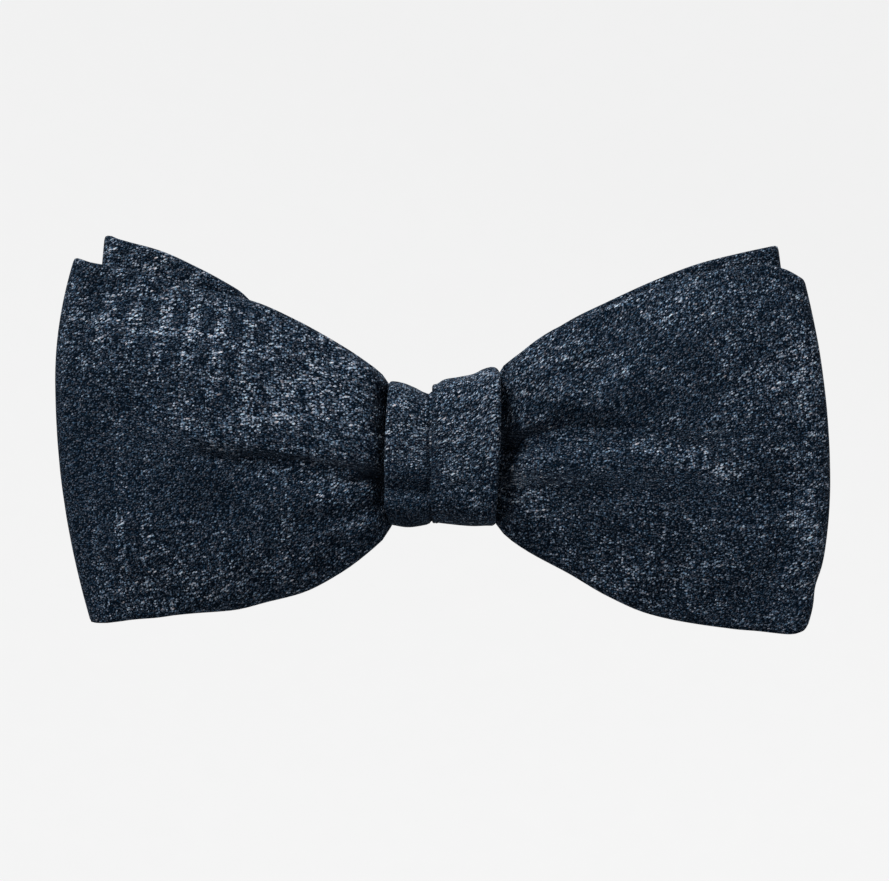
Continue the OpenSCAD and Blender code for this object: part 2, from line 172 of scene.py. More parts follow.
# -------- materials
class Net:
    """A material under construction: fixed values go on the shader, the rest is linked."""

    def __init__(self, name, **fixed):
        self.material = bpy.data.materials.new(name)
        self.material.use_nodes = True
        self.tree = self.material.node_tree
        self.shader = self.tree.nodes["Principled BSDF"]
        for key, value in fixed.items():
            self.shader.inputs[key.replace("_", " ")].default_value = value

    def add(self, kind, inputs=(), out=0, **settings):
        node = self.tree.nodes.new("ShaderNode" + kind)
        for key, value in settings.items():
            setattr(node, key, value)
        for key, value in dict(inputs).items():
            if isinstance(value, bpy.types.NodeSocket):
                self.tree.links.new(value, node.inputs[key])
            else:
                node.inputs[key].default_value = value
        return node.outputs[out]

    def math(self, operation, a, b=0.0, c=0.0, clamp=False):
        return self.add("Math", {0: a, 1: b, 2: c}, operation=operation, use_clamp=clamp)

    def times(self, a, b, plus=None):
        if plus is None:
            return self.math("MULTIPLY", a, b)
        return self.math("MULTIPLY_ADD", a, b, plus)

    def vector(self, x, y, z=0.0):
        return self.add("CombineXYZ", {0: x, 1: y, 2: z})

    def parts(self, vector):
        """The X, Y and Z of a vector."""
        return tuple(self.add("SeparateXYZ", {0: vector}).node.outputs)

    def ramp(self, value, low, high, to_low=0.0, to_high=1.0):
        """value from low..high to to_low..to_high, smooth at both ends."""
        return self.add(
            "MapRange",
            {0: value, 1: low, 2: high, 3: to_low, 4: to_high},
            interpolation_type="SMOOTHSTEP",
        )

    def noise(self, vector, scale, detail=2.0, rough=0.5, out=0):
        inputs = {"Vector": vector, "Scale": scale, "Detail": detail, "Roughness": rough}
        return self.add("TexNoise", inputs, out=out)

    def blend(self, factor, a, b, how="MIX"):
        inputs = {0: factor, 6: a, 7: b}
        return self.add("Mix", inputs, out=2, data_type="RGBA", blend_type=how)

    def to(self, socket, value):
        self.tree.links.new(value, self.shader.inputs[socket])

    def bump(self, height, distance_mm, strength):
        inputs = {"Height": height, "Distance": distance_mm * MM, "Strength": strength}
        self.to("Normal", self.add("Bump", inputs))


def rgb(r, g, b):
    return (r, g, b, 1.0)


YARN_ROW = 0.37  # mm from one row of ground yarn to the next
CANVAS_YARN = 0.6 * MM  # a yarn of the interlining to the next but one


def flecks(net, u, v, cell, half, slant, seed):
    """Slanted dashes on a jittered lattice, by cell and half size in mm.

    Returns how much of a dash is here, and the dash's two random numbers.
    """
    place = net.vector(net.times(u, 1 / cell[0], seed), net.times(v, 1 / cell[1], seed))
    inputs = {"Vector": place, "Scale": 1.0, "Randomness": 1.0}
    nearest = net.add("TexVoronoi", inputs, voronoi_dimensions="2D").node.outputs
    away = net.add("VectorMath", {0: place, 1: nearest["Position"]}, operation="SUBTRACT")
    away_u, away_v, _ = net.parts(away)
    du = net.times(away_u, cell[0])
    dv = net.times(du, -slant, net.times(away_v, cell[1]))
    far_u, far_v = (
        net.math("POWER", net.math("ABSOLUTE", net.math("DIVIDE", d, size)), 2.0)
        for d, size in ((du, half[0]), (dv, half[1]))
    )
    drawn = net.add("SeparateColor", {0: nearest["Color"]}).node.outputs
    return net.ramp(net.math("ADD", far_u, far_v), 1.7, 0.25), drawn[0], drawn[1]


def bow_cloth():
    """Navy melange: slate-blue slub flecks in cloudy clusters over near-black yarn.

    The mesh's tone attribute thickens or thins the flecks, for the cloth's clouds and its check,
    and also for painted light and shade on the bows and the knot.
    """
    net = Net("bow_cloth", Specular_IOR_Level=0.015, Sheen_Weight=0.006, Sheen_Roughness=0.5)
    where = net.add("UVMap", uv_map="weave")
    true_u, true_v, _ = net.parts(where)
    drift = net.math("SUBTRACT", net.noise(where, 0.33, 1.0), 0.5)
    u = net.times(drift, 0.9, true_u)
    v = net.times(drift, 0.5, true_v)

    cloud = net.ramp(net.noise(where, 0.38, 3.0, 0.65), 0.34, 0.68)
    streak_map = net.vector(net.times(u, 0.2), net.times(v, 0.95))
    streak = net.ramp(net.noise(streak_map, 1.0, 3.0), 0.34, 0.7)
    # tone: the cloth's clouds and check, and painted light and shade
    tone = net.add("Attribute", out=2, attribute_name="tone", attribute_type="GEOMETRY")
    cluster = net.times(cloud, 0.30, net.times(streak, 0.26))
    cluster = net.math("ADD", cluster, tone, clamp=True)

    fine, fine_rand, fine_tone = flecks(net, u, v, (0.29, 0.25), (0.135, 0.105), 0.25, 3.7)
    bold, bold_rand, bold_tone = flecks(net, u, v, (0.41, 0.35), (0.175, 0.125), 0.34, 11.3)
    dash, dash_rand, dash_tone = flecks(net, u, v, (0.86, 0.52), (0.36, 0.135), 0.42, 23.1)
    fine_level = net.times(
        net.math("POWER", fine_rand, 1.7), net.ramp(cluster, 0.0, 1.0, 0.58, 1.0)
    )
    fine_here = net.times(fine, fine_level)
    bold_on = net.ramp(
        net.math("SUBTRACT", bold_rand, net.ramp(cluster, 0.0, 1.0, 0.86, 0.22)), 0.0, 0.28
    )
    bold_here = net.times(bold, bold_on)

    # Painted shade: the ground yarn is darker between its rows, as well as bumped
    row = net.math("SINE", net.times(v, TAU / YARN_ROW))
    ground = net.blend(
        net.ramp(row, -1.0, 1.0), rgb(0.0005, 0.0025, 0.0060), rgb(0.0012, 0.0042, 0.0095)
    )
    dim = net.blend(fine_tone, rgb(0.032, 0.069, 0.129), rgb(0.148, 0.186, 0.250))
    dash_on = net.ramp(
        net.math("SUBTRACT", dash_rand, net.ramp(cluster, 0.2, 1.0, 0.97, 0.45)), 0.0, 0.22
    )
    dash_here = net.times(dash, dash_on)
    slub = net.times(
        net.math("POWER", bold_tone, 1.5), net.ramp(cluster, 0.1, 0.8, 0.45, 1.1)
    )
    pale = net.blend(slub, rgb(0.090, 0.141, 0.217), rgb(0.376, 0.436, 0.524))
    bright = net.blend(dash_tone, rgb(0.158, 0.220, 0.310), rgb(0.515, 0.580, 0.670))
    colour = net.blend(fine_here, ground, dim)
    melange = net.ramp(net.noise(where, 2.4, 2.0), 0.3, 0.7)
    tint = net.blend(melange, rgb(0.74, 1.0, 1.06), rgb(1.33, 1.0, 0.87))
    yarn = net.blend(dash_here, net.blend(bold_here, colour, pale), bright)
    tint_share = net.ramp(bold_here, 0.0, 1.0, 1.0, 0.55)
    net.to("Base Color", net.blend(tint_share, yarn, tint, "MULTIPLY"))
    net.to("Roughness", net.ramp(bold_here, 0.0, 1.0, 0.88, 0.74))
    height = net.times(row, 0.10, net.times(fine, 0.45))
    raised = net.math("MAXIMUM", bold_here, dash_here)
    net.bump(net.times(raised, 0.7, height), 0.10, 0.75)
    return net.material


def canvas():
    """Off-white woven interlining."""
    net = Net("canvas", Specular_IOR_Level=0.2, Roughness=0.92)
    where = net.add("TexCoord", out=3)
    x, _, z = net.parts(where)
    warp = net.math("SINE", net.times(x, TAU / CANVAS_YARN))
    weft = net.math("SINE", net.times(z, TAU / CANVAS_YARN))
    weave = net.times(warp, weft)
    slub = net.noise(where, 900.0, 3.0)
    shade = net.times(weave, 0.18, slub)
    net.to("Base Color", net.blend(shade, rgb(0.5, 0.47, 0.4), rgb(0.78, 0.75, 0.68)))
    net.bump(weave, 0.06, 0.5)
    return net.material


def wadding():
    """Fluffy white fibre."""
    net = Net("wadding", Specular_IOR_Level=0.1, Roughness=0.95, Sheen_Weight=0.4)
    where = net.add("TexCoord", out=3)
    fibre = net.noise(where, 1400.0, 4.0, 0.7)
    net.to("Base Color", net.blend(fibre, rgb(0.62, 0.61, 0.58), rgb(0.86, 0.85, 0.82)))
    net.bump(fibre, 0.25, 0.6)
    return net.material


def thread(name, dark, light):
    """Twisted sewing thread: the ply is in the mesh, and the fibres run along it."""
    net = Net(name, Specular_IOR_Level=0.4, Sheen_Weight=0.15)
    where = net.add("UVMap", uv_map="weave")
    along, around, _ = net.parts(where)
    twist = net.times(along, 5.0, net.times(around, 9.0))
    fibre = net.noise(net.vector(twist, around), 2.0, 3.0, 0.6)
    net.to("Base Color", net.blend(net.ramp(fibre, 0.3, 0.7), dark, light))
    net.to("Roughness", net.ramp(fibre, 0.3, 0.7, 0.62, 0.42))
    net.bump(fibre, 0.03, 0.5)
    return net.material


def label_satin():
    """Blank woven satin label."""
    net = Net("label_satin", Specular_IOR_Level=0.45, Sheen_Weight=0.2)
    where = net.add("UVMap", uv_map="weave")
    x, z, _ = net.parts(where)
    fine = net.math("SINE", net.times(z, TAU / 0.22))
    floats = flecks(net, x, z, (0.9, 0.22), (0.42, 0.09), 0.0, 5.1)[0]
    soil = net.noise(where, 0.3, 3.0)
    shade = net.times(floats, 0.5, net.times(soil, 0.5))
    net.to("Base Color", net.blend(shade, rgb(0.46, 0.445, 0.40), rgb(0.70, 0.68, 0.63)))
    net.to("Roughness", net.ramp(floats, 0.0, 1.0, 0.58, 0.34))
    net.bump(net.times(fine, 0.3, floats), 0.02, 0.5)
    return net.material


def plated(name, tint, rough, grain):
    """Nickel-plated or bare wire steel: brushed grain, smudges and fine handling scratches."""
    net = Net(name, Metallic=1.0, Anisotropic=0.3)
    where = net.add("TexCoord", out=3)
    stretched = net.add("Mapping", {"Vector": where, "Scale": grain})
    brush = net.noise(stretched, 1.0, 4.0, 0.65)
    smudge = net.noise(where, 160.0, 3.0, 0.55)
    scratch_map = net.add(
        "Mapping",
        {"Vector": where, "Rotation": (0.3, 0.6, 0.5), "Scale": (90.0, 900.0, 5200.0)},
    )
    scratch = net.ramp(net.noise(scratch_map, 1.0, 2.0), 0.66, 0.74)
    darker = tuple(c * 0.72 for c in tint)
    tone = net.blend(net.ramp(smudge, 0.3, 0.75), rgb(*darker), rgb(*tint))
    net.to("Base Color", net.blend(net.times(scratch, 0.35), tone, rgb(0.93, 0.92, 0.9)))
    worn = net.times(net.math("SUBTRACT", smudge, 0.5), 0.22, rough)
    brushed = net.math("SUBTRACT", brush, 0.5)
    net.to("Roughness", net.math("MULTIPLY_ADD", brushed, 0.16, worn, clamp=True))
    net.bump(net.times(scratch, -0.5, net.times(brush, 0.4)), 0.012, 0.45)
    return net.material


CLOTH = bow_cloth()
CANVAS = canvas()
WADDING = wadding()
THREAD = thread("sewing_thread", rgb(0.006, 0.009, 0.018), rgb(0.05, 0.065, 0.1))
LABEL = label_satin()
NICKEL = plated("nickel_plate", (0.60, 0.585, 0.555), 0.25, (300.0, 300.0, 4500.0))
STEEL = plated("spring_steel", (0.46, 0.455, 0.45), 0.28, (4000.0, 600.0, 4000.0))


# -------- the two bows
KNOT_HALF = 8.5  # half the knot's width
STRIP = 1.6  # thickness of a folded strip
CLOTH_THICK = 0.45
ROWS = 61  # points across a strip
N_FRONT, N_FOLD, N_BACK = 114, 13, 44  # points along a wing: its front, its fold and its back
SIM_SCALE = 20  # the cloth simulation runs this much larger than life
LEFT, RIGHT = 0, 1


class Bow:
    """One folded strip. Its edges' heights go by place along the wing, first left, then right.

    A set-back is how far the folded end is drawn in, by height from 0 to 1.
    """

    def __init__(self, reach, radius, tops, bottoms, set_backs, front, back, weave):
        self.reach, self.radius = reach, radius
        self.tops, self.bottoms, self.set_backs = tops, bottoms, set_backs
        self.front, self.back, self.weave = front, back, weave
        self.fold_start = reach - radius

    def half(self, side):
        """One wing's outer surface, from the middle in front to the seam behind, and its weave."""
        out = self.fold_start
        x_front = np.linspace(0, out, N_FRONT, endpoint=False)
        turn = np.linspace(-math.pi / 2, math.pi / 2, N_FOLD)
        x_back = np.linspace(out, 0.25, N_BACK)[1:]
        x = np.concatenate([x_front, out + self.radius * np.cos(turn), x_back])
        x, v = np.meshgrid(x, np.linspace(0, 1, ROWS), indexing="ij")
        is_front = np.arange(len(x))[:, None] < N_FRONT
        far = np.clip((x - KNOT_HALF) / (self.reach - KNOT_HALF), 0, 1) ** 2
        set_back = self.set_backs[side]
        top = self.tops[side](x - set_back(1.0) * far) - STRIP / 2
        bottom = self.bottoms[side](x - set_back(0.0) * far) + STRIP / 2
        z = mix(bottom, top, v)
        a = x - KNOT_HALF
        t = np.clip(a / (out - KNOT_HALF), 0, 1)
        front_y = self.front(side, x, a, t, z, v)
        back_y = self.back(side, x, a, t, z, v)
        end_front, end_back = front_y[N_FRONT - 1], back_y[N_FRONT + N_FOLD]
        middle, size = (end_front + end_back) / 2, (end_back - end_front) / 2
        y = np.where(is_front, front_y, back_y)
        y[N_FRONT : N_FRONT + N_FOLD] = middle + size * np.sin(turn)[:, None]
        x = x - set_back(v) * far
        sign = -1 if side == LEFT else 1
        grid = np.stack([sign * x, y, z], -1)
        length = distance_along(grid[:, ROWS // 2])
        u = sign * np.repeat(length[:, None], ROWS, 1)
        return grid, np.stack([u, self.weave(side, a, t, z)], -1)

    def strip(self):
        """The whole strip from the seam, round the right wing, across and round the left wing."""
        right, right_uv = self.half(RIGHT)
        left, left_uv = self.half(LEFT)
        grid = np.concatenate([right[::-1], left[1:]])
        return grid, np.concatenate([right_uv[::-1], left_uv[1:]])


def crease(a, z, line, depth, above, below, power=1.6):
    """How far a fold sinks in. Its height is line and its depth depth, by distance from the knot.

    It dies out over the distances above and below.
    """
    away = z - line(a)
    side = np.where(away > 0, away / above, -away / below)
    return depth(a) * np.exp(-(side**power))


def spot(a, z, at, size):
    """A round bump or dent in the face, by its place along and up the wing."""
    return bell(a - at[0], size[0]) * bell(z - at[1], size[1])


LEFT_CREASE = curve((0, -5.2), (9, -3.9), (18, -2.4), (27.5, -1.0), (34, -0.3))
RIGHT_CREASE = curve((0, -1.0), (7, 0.2), (14, 0.9), (24, 0.4), (34, -1.2))


def front_bow_front(side, x, a, t, z, v):
    """Front face of the front bow: gathered and pulled back at the knot, swelling outside it."""
    out = np.maximum(a, 0)
    w = 2 * v - 1
    swell = 5.3 if side == LEFT else 4.5
    rise = 1.5 if side == LEFT else 2.4
    y = mix(-9.6, -14.4, ease(t)) - swell * (1 - np.exp(-out / rise)) * (1 - t**2.2)
    open_ = (1 - np.exp(-out / 5)) * (1 - t**5)
    y = y + 3.6 * np.abs(w) ** 2.4 * open_ + 1.4 * np.clip(-w, 0, 1) ** 2 * open_
    on = ease(out / 1.5)
    if side == LEFT:
        y += on * crease(a, z, LEFT_CREASE,
                         curve((0, 2.3), (7, 2.9), (16, 2.7), (25, 1.6), (31, 0)), 0.8, 3.0, 1.5)
        ruck = bell(out - 4.5, 4) * ease((-z - 4) / 2) * ease((z + 15) / 3)
        y += on * 0.2 * ruck * np.sin(3.4 * (z + 0.8 * a))
        y += on * crease(a, z, curve((0, -9.5), (15.5, -12)),
                         curve((0, 1.3), (10, 1.0), (18, 0)), 2.0, 2.6)
        y += on * crease(a, z, curve((0, 4.5), (12, 9), (24, 12.5)),
                         curve((0, 0.9), (9, 0.6), (20, 0)), 2.4, 1.8)
        y += 0.7 * spot(a, z, (27.6, -1.2), (1.6, 1.1)) - 0.5 * spot(a, z, (26.6, 0.9), (2.2, 1.2))
        y += 0.9 * spot(a, z, (25, -9.3), (6, 4.2)) + 0.5 * spot(a, z, (38, 6), (5, 9))
        y -= 0.5 * spot(a, z, (33, 14), (5, 5)) + 0.45 * spot(a, z, (43, -14), (5, 6))
    else:
        y += on * crease(a, z, RIGHT_CREASE,
                         curve((0, 3.2), (8, 3.1), (18, 2.6), (28, 1.4), (36, 0)), 3.4, 1.3, 1.5)
        y += on * crease(a, z, curve((0, -6), (14, -8), (28, -10)),
                         curve((0, 1.2), (12, 0.7), (26, 0)), 2.2, 2.8)
        y += on * crease(a, z, curve((0, 6.5), (14, 11.5), (26, 16)),
                         curve((0, 1.0), (10, 0.55), (24, 0)), 2.6, 1.8)
        y += crease(a, z, curve((0, 1.0), (19, 4.6), (40.5, 9)),
                    curve((0, 0), (12, 0.5), (30, 0.6), (44, 0)), 3, 4)
        y += crease(a, z, curve((26, -4.4), (47, -8.6)),
                    curve((24, 0), (32, 0.6), (44, 0.5), (48, 0)), 3, 3)
        y -= 0.5 * spot(a, z, (30, 16), (7, 5)) + 0.5 * spot(a, z, (40, -18), (6, 5))
    gather = np.exp(-out / 7) * on
    y += gather * 0.34 * np.sin(v * (31 if side == LEFT else 27) + 1.1 * side)
    y += 0.22 * value_noise(x / 7.5 + 9 * side, z / 5.5 + 20, 4) * ease(out / 8)
    y += 0.09 * value_noise(x / 2.6 + 5, z / 2.3 + 30 + 9 * side, 5) * ease(out / 5)
    return y


def front_bow_back(side, x, a, t, z, v):
    return mix(-6.2, -8.2, ease(t)) - 0.12 * (1 + value_noise(x / 9, z / 7 + 40, 6))


def rear_bow_front(side, x, a, t, z, v):
    return mix(-6.0, -7.7, ease(t)) + 0.1 * (1 + value_noise(x / 8, z / 6 + 50 * side, 7))


def rear_bow_back(side, x, a, t, z, v):
    out = np.maximum(a, 0)
    w = 2 * v - 1
    room = ease(out / 14) * (1 - t**6)
    y = mix(-2.6, -2.75, ease(t)) - room * 1.1 * np.abs(w) ** 3
    y -= room * crease(a, z, curve((0, 3), (20, 7), (43, 10)),
                       curve((0, 0.5), (16, 0.9), (40, 0)), 3.0, 1.6)
    y -= room * crease(a, z, curve((0, -5), (20, -9), (43, -13)),
                       curve((0, 0.5), (14, 0.8), (36, 0)), 1.7, 3.2)
    y -= room * 0.25 * (1 + value_noise(x / 7 + 7 * side, z / 5 + 60, 8))
    return y


def front_bow_weave(side, a, t, z):
    """Where each point lies across the cloth: the rows fan out from the gathers, lobe by lobe."""
    fan = 1 - (1 - t) ** 1.7
    if side == LEFT:
        upper = ease((z - (-4.6 + 0.14 * a)) / 3.2 + 0.5)
        return mix(z - 6 * (1 - fan), z + 11 * (1 - fan), upper)
    low, middle, high = z - 9 * (1 - fan), z - 2.5 * (1 - fan), z + 12 * (1 - fan)
    return mix(mix(low, middle, ease((z + 5.5) / 3 + 0.5)), high, ease((z - 1.2) / 3 + 0.5))


def rear_bow_weave(side, a, t, z):
    fan = 1 - (1 - t) ** 1.7
    return 60 + mix(z - 8 * (1 - fan), z + 10 * (1 - fan), ease(z / 8 + 0.5))


FRONT = Bow(
    reach=60.3,
    radius=3.1,
    tops=(
        curve((0, 5), (4, 5.3), (6.6, 6.4), (8.0, 8.8), (8.6, 10.1), (12.9, 13.7), (17.5, 16.6),
              (23.8, 20.0), (29.5, 22.5), (40, 25.1), (50, 27.6), (54.5, 28.3), (57.6, 29.3)),
        curve((0, 5), (4, 5.6), (6.6, 7.4), (8.0, 9.8), (8.8, 11.7), (12, 14.4), (15.1, 16.8),
              (18.2, 18.6), (24.4, 21.2), (33.7, 25.0), (40, 26.9), (46, 27.9), (50, 28.0),
              (52.9, 27.3), (54.6, 26.7), (56.4, 25.9)),
    ),
    bottoms=(
        curve((0, -9.8), (6.6, -10.4), (7.8, -12.0), (8.6, -13.9), (11.3, -16.6), (16, -20.1),
              (22.2, -23.3), (27.6, -24.7), (33, -26), (39.3, -26.5), (45.5, -27.1), (55, -27.8)),
        curve((0, -9.8), (6.6, -10.4), (7.8, -11.6), (8.6, -13.0), (10.4, -14.8), (13.5, -16.9),
              (19.7, -20.2), (25.9, -23.8), (32.1, -26.5), (38.4, -27.9), (46.1, -28.9),
              (54.4, -29.4), (55.8, -29.2), (56.9, -28.5)),
    ),
    set_backs=(
        lambda v: np.where(v > 0.67, 25.5, 12) * (v - 0.67) ** 2 - 0.1,
        lambda v: np.where(v > 0.42, 11.5, 19.2) * (v - 0.42) ** 2 + 0.45 * bell(v - 0.11, 0.045),
    ),
    front=front_bow_front,
    back=front_bow_back,
    weave=front_bow_weave,
)
REAR = Bow(
    reach=55,
    radius=2.5,
    tops=(
        curve((0, 5), (6.6, 6.2), (8.5, 8.2), (20, 15.8), (29.7, 22.2), (32, 24.3), (34.3, 25.7),
              (38.4, 27.9), (44.7, 30.7), (49.8, 32.1), (53.6, 33.2)),
        curve((0, 5), (6.6, 6.6), (8.5, 9.9), (15.3, 16.6), (20.5, 20.0), (24.8, 22.1),
              (34.3, 26.4), (40.6, 28.7), (47, 30.3), (53.1, 31.6)),
    ),
    bottoms=(
        curve((0, -9.8), (7, -10.4), (8.5, -12), (20, -18.4), (33, -22), (50, -24)),
        curve((0, -9.8), (7, -10.4), (8.5, -12), (20, -18), (33, -22), (50, -24)),
    ),
    set_backs=(lambda v: 1.4 * (2 * v - 1) ** 2, lambda v: 1.9 * (2 * v - 1) ** 2),
    front=rear_bow_front,
    back=rear_bow_back,
    weave=rear_bow_weave,
)


def settle(grid, fullness, cap, frames=26):
    """Cloth simulation of one face of a bow, cut a little too full for the frame that holds it.

    Its edges and its gathered middle are pinned. Returns how far each point moves, in millimetres.
    """
    size = SIM_SCALE * MM
    ci = np.unique(np.append(np.arange(0, grid.shape[0], 3), grid.shape[0] - 1))
    cj = np.unique(np.append(np.arange(0, grid.shape[1], 2), grid.shape[1] - 1))
    coarse = grid[np.ix_(ci, cj)]
    n, m = coarse.shape[:2]
    shake = np.random.RandomState(7).uniform(-0.04, 0.04, (n, m))
    coarse = coarse + normals(coarse) * shake[..., None]
    i, j = np.meshgrid(np.arange(n - 1), np.arange(m - 1), indexing="ij")
    a = (i * m + j).ravel()
    mesh = bpy.data.meshes.new("trial")
    mesh.from_pydata((coarse.reshape(-1, 3) * size).tolist(), [],
                     np.stack([a, a + 1, a + m + 1, a + m], -1).tolist())
    obj = put("trial", mesh)
    held = np.zeros((n, m))
    held[[0, -1]] = 1
    held[:, [0, -1]] = 1
    held[np.abs(coarse[..., 0]) < KNOT_HALF + 0.7] = 1
    group = obj.vertex_groups.new(name="held")
    for value in (1.0, 0.0):
        group.add(np.flatnonzero(held.ravel() == value).tolist(), max(value, 0.015), "REPLACE")
    cloth = obj.modifiers.new("cloth", "CLOTH")
    settings = {
        "quality": 7, "mass": 0.2, "air_damping": 3, "tension_stiffness": 30,
        "compression_stiffness": 30, "shear_stiffness": 12, "bending_stiffness": 0.6,
        "vertex_group_mass": "held", "pin_stiffness": 1, "shrink_min": -fullness}
    for key, value in settings.items():
        setattr(cloth.settings, key, value)
    cloth.settings.effector_weights.gravity = 0
    cloth.collision_settings.use_collision = False
    cloth.collision_settings.use_self_collision = False
    cloth.point_cache.frame_start, cloth.point_cache.frame_end = 1, frames
    scene = bpy.context.scene
    for f in range(1, frames + 1):
        scene.frame_set(f)
    after = np.zeros(n * m * 3, np.float32)
    obj.evaluated_get(bpy.context.evaluated_depsgraph_get()).data.vertices.foreach_get("co", after)
    scene.frame_set(1)
    bpy.data.objects.remove(obj)
    bpy.data.meshes.remove(mesh)
    moved = after.reshape(n, m, 3) / size - coarse
    far = np.linalg.norm(moved, axis=-1, keepdims=True)
    moved = moved * cap * np.tanh(far / cap) / np.maximum(far, 1e-6)
    moved = smoothed(moved, 1) * (1 - held[..., None])
    rows = np.stack([[np.interp(np.arange(grid.shape[0]), ci, moved[:, c, k]) for k in range(3)]
                     for c in range(m)], 1).transpose(2, 1, 0)
    fine = np.stack([[np.interp(np.arange(grid.shape[1]), cj, row[:, k]) for k in range(3)]
                     for row in rows], 0).transpose(0, 2, 1)
    return smoothed(fine, 3)


def section(grid, near, far, inset=0.0, rounded=False):
    """Rings round a strip's section, between two depths below its outer face."""
    out = unit(smoothed(-normals(grid), 2))
    if inset:
        count = grid.shape[1]
        share = inset / np.linalg.norm(grid[:, -1] - grid[:, 0], axis=1)
        place = mix(share[:, None], 1 - share[:, None], np.linspace(0, 1, count)) * (count - 1)
        low = np.clip(place.astype(int), 0, count - 2)
        rows = np.arange(len(grid))[:, None]
        f = (place - low)[..., None]
        grid = mix(grid[rows, low], grid[rows, low + 1], f)
        out = unit(mix(out[rows, low], out[rows, low + 1], f))
    face, lining = grid - out * near, grid - out * far
    if not rounded:
        return np.concatenate([face, lining[:, ::-1]], 1)
    arcs = []
    for edge, inner in ((0, 1), (-1, -2)):
        centre = (face[:, edge] + lining[:, edge]) / 2
        away = (face[:, edge] - lining[:, edge]) / 2
        ahead = unit(face[:, edge] - face[:, inner])
        ahead = unit(ahead - np.sum(ahead * unit(away), -1, keepdims=True) * unit(away))
        size = np.linalg.norm(away, axis=-1, keepdims=True)
        arcs.append([centre + away * math.sin(q) + ahead * size * abs(math.cos(q)) ** 0.55
                     for q in (1.05, 0.42, -0.42, -1.05)])
    bottom, top = arcs
    ring = [bottom[1], bottom[0], *face.swapaxes(0, 1), top[0], top[1],
            top[2], top[3], *lining[:, ::-1].swapaxes(0, 1), bottom[3], bottom[2]]
    return np.stack(ring, 1)


def bow_piece(name, grid, uv, node, fleck_and_light_patches, crease_shades=()):
    """A bow's sewn tube of cloth, with the hollow inside it, and the interlining in that.

    Each patch is (X, Z, width, height, more or fewer flecks, strength of the check); the flecks
    also paint light and shade. Each crease shade is (sign of X, line, fade, end, strength) and
    paints shade along a crease's line.
    """
    outer = section(grid, 0, STRIP, rounded=True)
    rows = list(range(ROWS))
    ring_uv = uv[:, [0, 0] + rows + [ROWS - 1] * 4 + rows[::-1] + [0, 0]]
    ring_uv[..., 1] += [-1.2, -0.6] + [0] * ROWS + [0.6, 1.2, 1.8, 2.4] + [0] * ROWS + [-2.4, -1.8]
    inner = section(grid[::3, ::6], CLOTH_THICK, STRIP - CLOTH_THICK, inset=0.8)[1:-1]
    count, size = outer.shape[:2]
    count_in, size_in = inner.shape[:2]
    points = np.concatenate([outer.reshape(-1, 3), inner.reshape(-1, 3)])
    faces = np.concatenate([
        tube_faces(count, size), tube_faces(count_in, size_in, count * size, flip=True)])
    flat_uv = np.concatenate([ring_uv.reshape(-1, 2), inner.reshape(-1, 3)[:, [0, 2]]])
    wide_check = points[:, 0] < 0
    bar_place = np.where(wide_check, flat_uv[:, 0] / 4.5 - 0.02 * flat_uv[:, 1], points[:, 0] / 2.1)
    line_place = np.where(wide_check, flat_uv[:, 1] / 5.8, points[:, 2] / 2.6 - 0.04 * points[:, 0])
    bars = ease(0.5 + 0.75 * np.sin(TAU * bar_place))
    lines = ease(0.2 + 0.8 * np.sin(TAU * line_place))
    tone = 0.0 * points[:, 0]
    # Each patch thins or thickens the flecks and the check, and with them paints light and shade
    for x, z, wide, high, amount, check in fleck_and_light_patches:
        here = bell(points[:, 0] - x, wide) * bell(points[:, 2] - z, high)
        tone += here * (amount + check * (np.maximum(bars, lines * 0.8) - 0.45))
    # Painted shade: fewer flecks along each crease's line
    for sign_x, line, fade, end, strength in crease_shades:
        from_knot = sign_x * points[:, 0] - KNOT_HALF
        near = bell(points[:, 2] - line(from_knot), 0.55)
        tone -= strength * near * ease(from_knot / 2) * ease((end - from_knot) / fade)
    piece = make(name, points, faces, CLOTH, flat_uv, stands_for=[node],
                 tone=tone)
    lining = section(grid, 0.65, 1.0, inset=1.1)[4:-4, np.r_[0:ROWS:2, ROWS : 2 * ROWS : 2]]
    canvas_piece = make(
        name.replace("cloth", "canvas"), lining.reshape(-1, 3), tube_faces(*lining.shape[:2]),
        CANVAS, stands_for=[node.replace("fabric", "interlining")])
    return piece, canvas_piece


front_grid, front_uv = FRONT.strip()
rear_grid, rear_uv = REAR.strip()
face = slice(N_BACK + N_FOLD, -N_BACK - N_FOLD)
front_grid[face] += settle(front_grid[face], 0.035, 1.0)
for wing in (slice(2, N_BACK - 1), slice(1 - N_BACK, -2)):
    rear_grid[wing] += settle(rear_grid[wing], 0.02, 0.35)
